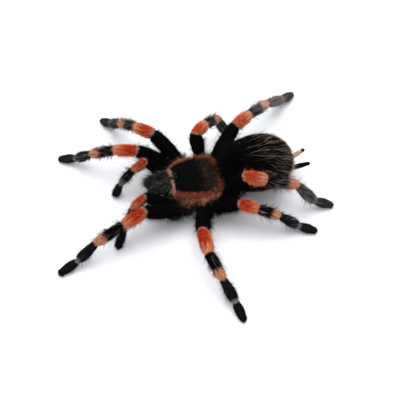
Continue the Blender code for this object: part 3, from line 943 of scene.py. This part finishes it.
def scatter(surface, density, draw):  # roots spread over a surface, as many to the square millimetre as asked
    q, info = surface["quads"], surface["info"]
    tris = np.concatenate([q[:, [0, 1, 2]], q[:, [0, 2, 3]]])
    corner = info["points"][tris]
    area = np.linalg.norm(np.cross(corner[:, 1] - corner[:, 0], corner[:, 2] - corner[:, 0]), axis=1) / 2
    weight = area * density[tris].mean(1)
    total = weight.sum()
    count = int(total)
    if count == 0:
        return None
    picked = np.searchsorted(np.cumsum(weight), draw.uniform(0, total, count))
    picked = np.minimum(picked, len(tris) - 1)
    a, b = draw.uniform(0, 1, (2, count))
    flip = a + b > 1
    a[flip], b[flip] = 1 - a[flip], 1 - b[flip]
    share = np.stack([1 - a - b, a, b], 1)[..., None]
    own = tris[picked]
    normals = unit((surface["normals"][own] * share).sum(1))
    return describe((info["points"][own] * share).sum(1), info["node"][own[:, 0]]), normals


def jitter(draw, value, spread, count):
    return value * (1 + draw.uniform(-spread, spread, count))


def nearestOf(points, leaders):
    tree = KDTree(len(leaders))
    for i, p in enumerate(leaders):
        tree.insert(Vector(p), i)
    tree.balance()
    return np.array([tree.find(Vector(p))[1] for p in points])


hairDefaults = {  # what a kind of hair has unless it says otherwise; angles in degrees
    "sway": 12, "lengthSpread": 0.3, "widthSpread": 0.25, "liftSpread": 7, "bend": 15, "bendSpread": 6,
    # rootShade is painted shade: it darkens a hair towards its root, where the coat shades it; tipShade sets
    # how light its tip is
    "curl": 0.08, "steps": 1, "colourShare": 1.0, "shadeSpread": 0.25, "rootShade": 0.7, "tipShade": 1.15,
    "wander": 0.0, "rootDepth": 0.06,
    "tipHeight": 0.05, "height": 0.02,  # least height of its tip and of the rest over the floor
}
# places along a hair and shares of its width there, by its number of steps
hairSections = {0: [(0, 1)], 1: [(0, 1), (0.5, 0.72)], 2: [(0, 1), (0.36, 0.85), (0.72, 0.52)]}
hairCorners = [(0, 1), (-0.9, -0.5), (0.9, -0.5)]  # of a section, aside and above its middle


def hairPoints(info, normals, hair, draw):
    count = len(normals)
    way = lieOf(info, normals)
    sway = np.radians(draw.normal(0, hair["sway"], count))[:, None]
    way = way * np.cos(sway) + np.cross(way, normals) * np.sin(sway)
    aside = np.cross(way, normals)
    length = jitter(draw, hair["length"], hair["lengthSpread"], count)[:, None]
    if "lengthBy" in hair:
        length = length * hair["lengthBy"](info)[:, None]
    width = jitter(draw, hair["width"], hair["widthSpread"], count)[:, None]
    lift = np.radians(hair["lift"] + draw.normal(0, hair["liftSpread"], count))[:, None]
    bend = np.radians(hair["bend"] + draw.normal(0, hair["bendSpread"], count))[:, None]
    first = way * np.cos(lift) + normals * np.sin(lift)
    final = way * np.cos(lift - bend) + normals * np.sin(lift - bend)
    curl = draw.normal(0, hair["curl"], count)[:, None]
    root = info["points"] - normals * hair["rootDepth"]
    tip = root + length * (first + (final - first) / 2)
    pull = length * aside * curl
    if "clump" in hair:  # neighbouring tips are drawn together into locks
        leaders = draw.choice(count, max(count // hair["clumpSize"], 1), replace=False)
        nearest = nearestOf(info["points"], info["points"][leaders])
        pull = pull + (tip[leaders][nearest] - tip) * hair["clump"]
    rows = []
    for share, size in hairSections[hair["steps"]]:
        centre = root + length * (first * share + (final - first) * share ** 2 / 2) + pull * share ** 2
        above = unit(np.cross(aside, unit(first * (1 - share) + final * share)))
        half = width * size / 2
        rows += [centre + (aside * x + above * z) * half for x, z in hairCorners]
    tip = tip + pull
    tip[:, 2] = np.maximum(tip[:, 2], hair["tipHeight"])
    points = np.stack(rows + [tip], 1)
    points[:, :, 2] = np.maximum(points[:, :, 2], hair["height"])
    return points


def hairFaces(steps, count):  # a base, walls between the sections and a point, for each hair
    faces = [(2, 1, 0)]
    for a in range(0, 3 * steps, 3):
        for m in range(3):
            n = (m + 1) % 3
            faces += [(a + m, a + n, a + 3 + n), (a + m, a + 3 + n, a + 3 + m)]
    last, tip = 3 * steps, 3 * steps + 3
    faces += [(last + m, last + (m + 1) % 3, tip) for m in range(3)]
    return (np.array(faces)[None] + (np.arange(count) * (tip + 1))[:, None, None]).reshape(-1, 3)


def hairColours(info, hair, draw):  # the skin's own colour, mixed with the hair's colours
    count = len(info["t"])
    base = markings(info, draw.normal(0, hair["wander"], count))
    if "colours" in hair:
        own = np.array([colourOf[name] for name in hair["colours"]])
        own = own[draw.integers(0, len(own), count)]
        base = base * (1 - hair["colourShare"]) + own * hair["colourShare"]
    shade = draw.uniform(1 - hair["shadeSpread"], 1 + hair["shadeSpread"], count)
    # painted shade: each hair is darkened at its root by the root level, where the coat shades it, and its
    # point is set to the tip level
    levels = np.array([hair["rootShade"]] * 3 + [1.0] * 3 * hair["steps"] + [hair["tipShade"]])
    return base[:, None, :] * shade[:, None, None] * levels[None, :, None]


def hairPlaces(info, hair):  # each hair's patch on the sheet, at its root's place
    spots = []
    for share, _ in hairSections[hair["steps"]]:
        spots += [(-0.5, share), (0.5, share), (0, share + 0.1)]
    return atlasPlaces(info)[:, None, :] + np.array(spots + [(0, 1)])[None] * hairPatch


def hairArrays(info, normals, hair, draw):
    hair = {**hairDefaults, **hair}
    points = hairPoints(info, normals, hair, draw).reshape(-1, 3)
    faces = hairFaces(hair["steps"], len(normals))
    return points, faces, hairColours(info, hair, draw).reshape(-1, 3), hairPlaces(info, hair).reshape(-1, 2)


def coatPiece(name, batches, slotName):
    starts = np.cumsum([0] + [len(batch[0]) for batch in batches])
    tris = np.concatenate([batch[1] + start for batch, start in zip(batches, starts)])
    points, colours, places = [np.concatenate([batch[k] for batch in batches]) for k in (0, 2, 3)]
    mesh = bpy.data.meshes.new(name)
    mesh.vertices.add(len(points))
    mesh.vertices.foreach_set("co", (points * mm).astype(np.float32).ravel())
    mesh.loops.add(len(tris) * 3)
    mesh.loops.foreach_set("vertex_index", tris.astype(np.int32).ravel())
    mesh.polygons.add(len(tris))
    mesh.polygons.foreach_set("loop_start", np.arange(0, len(tris) * 3, 3, dtype=np.int32))
    mesh.update(calc_edges=True)
    layer = mesh.uv_layers.new(name="OFBake")
    layer.data.foreach_set("uv", places[tris.ravel()].astype(np.float32).ravel())
    mesh.shade_smooth()
    mesh.validate()
    thing = addThing(name, mesh)
    paintPoints(thing, colours)
    placePiece(thing, slotName, hairMaterial)
    print(f"{name}: {len(tris)} triangles")
    return len(tris)


def on(info, name):  # the points of one kind of segment
    return info["region"] == region[name]


def byRegion(info, other=0.0, **values):  # one value for each kind of segment
    return np.array([values.get(name, other) for name in regionNames])[info["region"]]


def tStep(info, low, high):  # sets in along a segment
    return smoothStep(low, high, info["t"])


def turnStep(info, low, high):  # sets in round a segment, from its top
    return smoothStep(low, high, np.abs(info["turn"]))


def lowerSide(info):
    return turnStep(info, 0.8, 2.2)


def upperSide(info):
    return turnStep(info, 1.9, 0.9)


def onKnee(info, knee, band):  # a density on the knee and one on the tibia's band
    return on(info, "patella") * knee + on(info, "tibia") * band * tStep(info, 0.62, 0.7)


def setaeDensity(info):
    density = on(info, "femur") * 2.3 * (0.4 + 1.2 * lowerSide(info))
    density = density + on(info, "tibia") * 2.9 * (tStep(info, 0.85, 0.45) + 0.15)
    density = density + on(info, "metatarsus") * 1.7 * tStep(info, 1.0, 0.7)
    return (density + byRegion(info, tarsus=0.4, underside=1.0)) * (1 - 0.6 * paleHairAndLightOf(info))


def setaeLength(info):
    onHindLegs = info["limb"] // 2 == limbKinds.index("leg_4")
    length = byRegion(info, 1, femur=0.9, metatarsus=0.8, tarsus=0.5, underside=0.8)
    return length * np.where(onHindLegs, 1.25, 1.0)


def rimHeight(info):  # over the carapace's lowest edge
    return info["points"][:, 2] - boxes["carapace"][0][2]


def rimEdge(info):  # the low outer edge of the margin
    return smoothStep(0.75, 1.0, rimAmount(info)) * smoothStep(1.0, 0.0, rimHeight(info) / 2.6)


def lockLength(info, spread):  # long and short locks side by side
    return np.clip(0.85 + spread * sphereNoise(info["points"], 3.0, 21), 0.3, 1.6)


velvet = {  # the short lying coat
    "density": lambda info: byRegion(info, femur=17, patella=18, tibia=16, metatarsus=16, tarsus=22,
                                     underside=9, chelicera=14, pedicel=8, abdomen=15, spinneret=22),
    "length": 0.92, "width": 0.17, "lift": 30, "bend": 13, "steps": 0, "wander": 0.012,
    "lengthBy": lambda info: byRegion(info, 1, metatarsus=1.05, tarsus=0.75, underside=0.9, chelicera=0.75,
                                      pedicel=0.6, abdomen=1.25, spinneret=0.4),
    "rootShade": 0.6, "tipShade": 1.2, "shadeSpread": 0.3,
}
setae = {  # dark hairs that stand out from the legs
    "density": setaeDensity, "length": 2.9, "lengthSpread": 0.4, "lengthBy": setaeLength, "width": 0.105,
    "lift": 54, "liftSpread": 14, "bend": 26, "sway": 22, "curl": 0.12,
    "colours": ["black", "black", "softBlack"], "rootShade": 1.0, "tipShade": 1.1,
}
kneeHair = {  # longer hairs along the orange knees and the bands
    "density": lambda info: onKnee(info, 7.0, 7.0),
    "length": 1.5, "width": 0.115, "lift": 24, "liftSpread": 10, "bend": 12, "sway": 8,
    "lengthBy": lambda info: 1 - 0.55 * tStep(info, 0.70, 0.95),
    "rootShade": 0.9, "tipShade": 1.4, "shadeSpread": 0.4,
}
kneeStrays = {
    "density": lambda info: onKnee(info, 1.5, 1.2),
    "length": 2.2, "width": 0.11, "lift": 46, "liftSpread": 14, "bend": 24, "sway": 24, "curl": 0.12,
    "lengthBy": lambda info: 1 - 0.4 * tStep(info, 0.70, 0.95),
    "colours": ["peach", "orange", "rimLight", "rim"], "colourShare": 0.8, "tipShade": 1.1,
}
kneeDark = {
    "density": lambda info: on(info, "patella") * 0.45 * (0.3 + lowerSide(info)),
    "length": 2.2, "width": 0.11, "lift": 52, "liftSpread": 12, "bend": 24, "sway": 22, "curl": 0.12,
    "colours": ["softBlack", "smoke"],
}
paleStreaks = {  # pale hairs lying along the dark segments, more of them on paler limbs, so on the right legs they also add painted light
    "density": lambda info: on(info, "tibia") * (0.4 + 1.8 * paleHairAndLightOf(info)) * tStep(info, 0.75, 0.6)
    + on(info, "metatarsus") * (0.1 + 4.6 * paleHairAndLightOf(info)),
    "length": 3.4, "width": 0.08, "lift": 14, "liftSpread": 4, "bend": 8, "sway": 5, "curl": 0.06,
    "lengthBy": lambda info: 1 - 0.5 * tStep(info, 0.55, 0.9),
    "colours": ["tan", "haze", "haze", "paleLine"], "colourShare": 0.9, "rootShade": 0.9, "tipShade": 1.0,
}
hipHair = {  # wispy brown hairs over the hips and coxae
    "density": lambda info: on(info, "underside") * 4.5 * upperSide(info)
    + on(info, "femur") * 2.0 * tStep(info, 0.14, 0.03) * upperSide(info),
    "length": 1.6, "width": 0.10, "lift": 30, "liftSpread": 14, "bend": 18, "sway": 24, "curl": 0.2,
    "colours": ["hip", "smoke", "rim", "dullBand"], "colourShare": 0.85,
}
thighSkirtAndShade = {  # dark hairs at the roots of the left limbs, also painted shade: they darken the gaps there, where the floor under the body lies in shadow
    "density": lambda info: on(info, "femur") * 9.0 * tStep(info, 0.36, 0.14)
    * np.maximum(lowerSide(info), 0.7 * isPalp(info)) * ~isRight(info),
    "length": 3.2, "width": 0.15, "lift": 56, "liftSpread": 16, "bend": 14, "sway": 30, "curl": 0.12,
    "colours": ["black", "softBlack"],
}
toeTuft = {  # short hairs that make the feet blunt
    "density": lambda info: on(info, "tarsus")
    * np.where(isPalp(info), 14.0 * tStep(info, 0.1, 0.5), 34.0 * tStep(info, 0.80, 0.92)),
    "length": 0.95, "width": 0.13, "lift": 60, "liftSpread": 14, "bend": 8, "steps": 0, "sway": 20,
    "lengthBy": lambda info: np.where(isPalp(info), 1.15, 1.0),
}
# dark hairs hanging from the lower sides of the hips, also painted shade under the body
bellyHairAndShade = {
    "density": lambda info: on(info, "underside") * 1.6 * lowerSide(info),
    "length": 2.0, "width": 0.13, "lift": 44, "liftSpread": 14, "bend": 18, "sway": 24,
    "colours": ["softBlack", "black", "hip"],
}
hipSkirtAndShade = {  # dark hairs between the hips and beside the jaws, also painted shade: they darken the gaps there, where the floor under the body lies in shadow
    "density": lambda info: on(info, "underside") * 8.0 * smoothStep(4.0, 6.0, fromMiddle(info))
    * (1 - 0.8 * upperSide(info)),
    "length": 3.3, "width": 0.15, "lift": 52, "liftSpread": 16, "bend": 20, "sway": 30, "curl": 0.12,
    "colours": ["black", "softBlack", "softBlack"],
}
jawSkirtAndShade = {  # the same dark hairs and painted shade on the outer sides of the jaws
    "density": lambda info: on(info, "chelicera") * 11.0 * smoothStep(2.6, 4.0, fromMiddle(info))
    * turnStep(info, 0.9, 1.5) * tStep(info, 0.6, 0.4),
    "length": 2.8, "width": 0.15, "lift": 46, "liftSpread": 14, "bend": 20, "sway": 24, "curl": 0.12,
    "lengthBy": lambda info: 1 - 0.6 * tStep(info, 0.3, 0.8),
    "colours": ["jaw", "softBlack"],
}
jawWisps = {
    "density": lambda info: on(info, "chelicera") * 4.0,
    "length": 2.2, "width": 0.06, "lift": 22, "liftSpread": 10, "bend": 20, "sway": 22, "curl": 0.3,
    "colours": ["ash", "jaw", "smoke", "dullBand"], "tipShade": 1.1,
}
abdomenDark = {
    "density": lambda info: on(info, "abdomen") * 5.0,
    "length": 2.3, "width": 0.13, "lift": 20, "bend": 16, "sway": 9, "curl": 0.06,
    "lengthBy": lambda info: 1 + 0.5 * tStep(info, 0.35, 0.0),
    "colours": ["black", "softBlack"], "shadeSpread": 0.5,
}
abdomenFront = {  # black hairs that bridge the waist
    "density": lambda info: on(info, "abdomen") * 8.0 * tStep(info, 0.26, 0.12),
    "length": 3.9, "width": 0.15, "lift": 70, "liftSpread": 16, "bend": 4, "sway": 30, "curl": 0.1,
    "colours": ["black", "softBlack"], "shadeSpread": 0.5,
}
abdomenLong = {  # pale brown hairs that sweep back over the abdomen
    "density": lambda info: on(info, "abdomen")
    * (0.04 + 0.62 * smoothStep(0.2, 0.8, info["t"] + 0.1 * turnStep(info, 0.5, 1.8))),
    "length": 7.6, "lengthSpread": 0.35, "width": 0.054, "lift": 14, "liftSpread": 3, "bend": 42, "steps": 2,
    "sway": 7, "colours": ["paleLine", "paleLine", "dullBand", "tan"], "colourShare": 0.95,
    "shadeSpread": 0.5, "rootShade": 0.8, "tipShade": 1.0,
}
abdomenStrays = {
    "density": lambda info: on(info, "abdomen") * 0.5 * tStep(info, 0.3, 0.6),
    "length": 4.2, "width": 0.07, "lift": 38, "liftSpread": 12, "bend": 34, "steps": 2, "sway": 16,
    "curl": 0.12, "colours": ["softBlack", "dullBand", "smoke", "tan"], "colourShare": 0.85,
}
spinneretHair = {
    "density": lambda info: on(info, "spinneret") * 3.0,
    "length": 0.9, "width": 0.07, "lift": 30, "liftSpread": 12, "bend": 12, "sway": 18, "rootShade": 0.9,
}
shieldVelvet = {
    "density": lambda info: np.full(len(info["t"]), 20.0),
    "length": 0.55, "width": 0.15, "lift": 24, "bend": 12, "steps": 0, "rootShade": 0.6, "shadeSpread": 0.35,
}
shieldStreaks = {  # brown hairs that fan out over the rear of the black middle
    "density": lambda info: 10.0 * tStep(info, 0.55, 0.78) * (1 - 0.6 * rimAmount(info)),
    "length": 1.5, "width": 0.085, "lift": 16, "bend": 12, "sway": 9, "curl": 0.15,
    "colours": ["olive", "hip", "olive", "softBlack"], "colourShare": 0.7, "shadeSpread": 0.5,
}
browHair = {  # the pale strip over the jaws
    "density": lambda info: 22.0 * tStep(info, 0.075, 0.02)
    * smoothStep(*markShape["browEnds"], fromMiddle(info)),
    "length": 1.4, "width": 0.11, "lift": 22, "liftSpread": 10, "bend": 20, "sway": 16,
    "colours": ["brow", "brow", "rimLight"], "colourShare": 0.9, "rootShade": 0.85,
}
shieldWool = {  # the fuzzy reddish margin
    "density": lambda info: 20.0 * rimAmount(info) * (rimHeight(info) > 0),
    "length": 2.0, "width": 0.11, "lift": 42, "liftSpread": 22, "bend": 24, "sway": 26, "curl": 0.3,
    "lengthBy": lambda info: (1 - 0.35 * tStep(info, 0.85, 1.0)) * lockLength(info, 0.3),
    "clump": 0.7, "clumpSize": 16, "colours": ["rim", "rimLight", "rim", "hip"], "colourShare": 0.6,
    "shadeSpread": 0.5, "rootShade": 0.28, "tipShade": 1.6,
}
shieldFringe = {  # longer locks that hang over the hips, longest on the left
    "density": lambda info: 20.0 * rimEdge(info),
    "length": 5.0, "width": 0.12, "lift": 34, "liftSpread": 14, "bend": 62, "sway": 24, "curl": 0.25,
    "steps": 2, "lengthBy": lambda info: lockLength(info, 0.6)
    * (0.95 - 0.45 * tStep(info, 0.25, 0.9) + 0.4 * (info["points"][:, 0] > bodyX)),
    "clump": 0.8, "clumpSize": 34, "colours": ["rim", "rimLight", "peach", "hip"], "colourShare": 0.8,
    "shadeSpread": 0.6, "rootShade": 0.3, "tipShade": 1.8,
}
shieldCurls = {  # single pale curly hairs past the margin
    "density": lambda info: 3.6 * rimEdge(info) * tStep(info, 0.95, 0.8),
    "length": 5.2, "width": 0.11, "lift": 36, "liftSpread": 16, "bend": 66, "sway": 34, "curl": 0.5,
    "steps": 2, "clump": 0.3, "clumpSize": 6, "colours": ["paleLine", "peach", "rimLight"],
    "colourShare": 0.9, "shadeSpread": 0.4,
}

limbHairs = [velvet, setae, kneeHair, kneeStrays, kneeDark, paleStreaks, hipHair, thighSkirtAndShade, toeTuft]
bodyCoats = {  # slot, surface, parts of the body and kinds of hair
    "coatAbdomen": ("black_velvet", "skin", ["abdomen"], [velvet, abdomenDark]),
    "coatAbdomenLong": ("pale_tip", "skin", ["abdomen"], [abdomenFront, abdomenLong, abdomenStrays]),
    "coatSpinnerets": ("pale_tip", "skin", ["spinneret"], [velvet, spinneretHair]),
    "coatJaws": ("grey_brown", "skin", ["chelicera"], [velvet, jawSkirtAndShade, jawWisps]),
    "coatUnderside": ("grey_brown", "skin", ["underside", "pedicel"], [velvet, hipHair, hipSkirtAndShade, bellyHairAndShade]),
    "coatShield": ("brown_plate", "carapace", ["carapace"], [shieldVelvet, shieldStreaks, browHair]),
    "coatShieldRim": ("brown_plate", "carapace", ["carapace"], [shieldWool, shieldFringe, shieldCurls]),
}


def growCoat():
    plans = []
    for limbNumber, limb in enumerate(limbs):
        name = "coat" + limb["kind"].title().replace("_", "") + limb["side"].title()
        plans.append((name, "black_velvet", "skin", skin["limb"] == limbNumber, limbHairs))
    for name, (slotName, surfaceName, parts, hairs) in bodyCoats.items():
        window = np.isin(surfaces[surfaceName]["info"]["region"], [region[part] for part in parts])
        plans.append((name, slotName, surfaceName, window, hairs))
    total = 0
    for number, (name, slotName, surfaceName, window, hairs) in enumerate(plans):
        draw = np.random.default_rng(900 + number)
        surface = surfaces[surfaceName]
        batches = []
        for hair in hairs:
            roots = scatter(surface, hair["density"](surface["info"]) * window, draw)
            if roots is not None:
                batches.append(hairArrays(*roots, hair, draw))
        total += coatPiece(name, batches, slotName)
    print("coat grown:", total, "triangles")


growCoat()

# floor, light and camera
stageSettings = {"floorSize": 3.0, "floorColour": (0.93, 0.93, 0.935), "floorRoughness": 0.6, "mottle": 0.985}
lightSettings = {  # lengths in metres
    "world": (0.90, 0.95, 1.0), "worldTop": 1.05, "worldLow": 0.22,
    "key": {"from": (-0.16, 0.02, 0.75), "size": 0.85, "power": 5.6},
    "fill": {"from": (0.45, -0.35, 0.55), "size": 0.5, "power": 0.4},
}
viewSettings = {
    "azimuth": 76.08, "elevation": 58.28, "distance": 0.26333, "focal": 60.63,
    "aim": (3.73, 0.655),  # from the carapace's middle, in millimetres: to the animal's left, and back
}


def makeFloor():
    half = stageSettings["floorSize"] / 2
    mesh = bpy.data.meshes.new("studioFloor")
    corners = [(x * half, y * half, 0) for x, y in ((-1, -1), (1, -1), (1, 1), (-1, 1))]
    mesh.from_pydata(corners, [], [(0, 1, 2, 3)])
    material, tree, links, shader = newMaterial("studioFloor")
    grain = objectNoise(tree, links, 40, 2)
    colour = stageSettings["floorColour"]
    stops = [(0, [c * stageSettings["mottle"] for c in colour]), (1, colour)]
    addRamp(tree, links, grain, shader.inputs["Base Color"], stops)
    shader.inputs["Roughness"].default_value = stageSettings["floorRoughness"]
    mesh.materials.append(material)
    addThing("studioFloor", mesh)


def makeLight(name, settings):
    lamp = bpy.data.lights.new(name, "AREA")
    lamp.shape = "DISK"
    lamp.size = settings["size"]
    lamp.energy = settings["power"]
    thing = addThing(name, lamp)
    thing.location = settings["from"]
    thing.rotation_euler = (-Vector(settings["from"])).to_track_quat("-Z", "Y").to_euler()


def makeWorld():  # the studio is lit from above and darker near the floor
    world = bpy.data.worlds.new("studio")
    world.use_nodes = True
    tree, links = world.node_tree.nodes, world.node_tree.links
    background = tree["Background"]
    background.inputs["Color"].default_value = (*lightSettings["world"], 1)
    place = tree.new("ShaderNodeTexCoord")
    split = tree.new("ShaderNodeSeparateXYZ")
    level = tree.new("ShaderNodeMapRange")
    level.inputs["To Min"].default_value = lightSettings["worldLow"]
    level.inputs["To Max"].default_value = lightSettings["worldTop"]
    links.new(place.outputs["Generated"], split.inputs["Vector"])
    links.new(split.outputs["Z"], level.inputs["Value"])
    links.new(level.outputs["Result"], background.inputs["Strength"])
    bpy.context.scene.world = world


def makeCamera():
    aim = Vector((*(carapaceMiddle[:2] + viewSettings["aim"]) * mm, 0))
    turn, rise = math.radians(viewSettings["azimuth"]), math.radians(viewSettings["elevation"])
    back = Vector((math.sin(turn) * math.cos(rise), -math.cos(turn) * math.cos(rise), math.sin(rise)))
    camera = bpy.data.cameras.new("camera")
    camera.sensor_width = 36
    camera.lens = viewSettings["focal"]
    camera.clip_start, camera.clip_end = 0.01, 20
    thing = addThing("camera", camera)
    thing.location = aim + back * viewSettings["distance"]
    thing.rotation_euler = (-back).to_track_quat("-Z", "Y").to_euler()
    bpy.context.scene.camera = thing


makeFloor()
makeLight("keyLight", lightSettings["key"])
makeLight("fillLight", lightSettings["fill"])
makeWorld()
makeCamera()
bpy.context.scene.view_settings.view_transform = "Standard"
print("floor, light and camera placed")
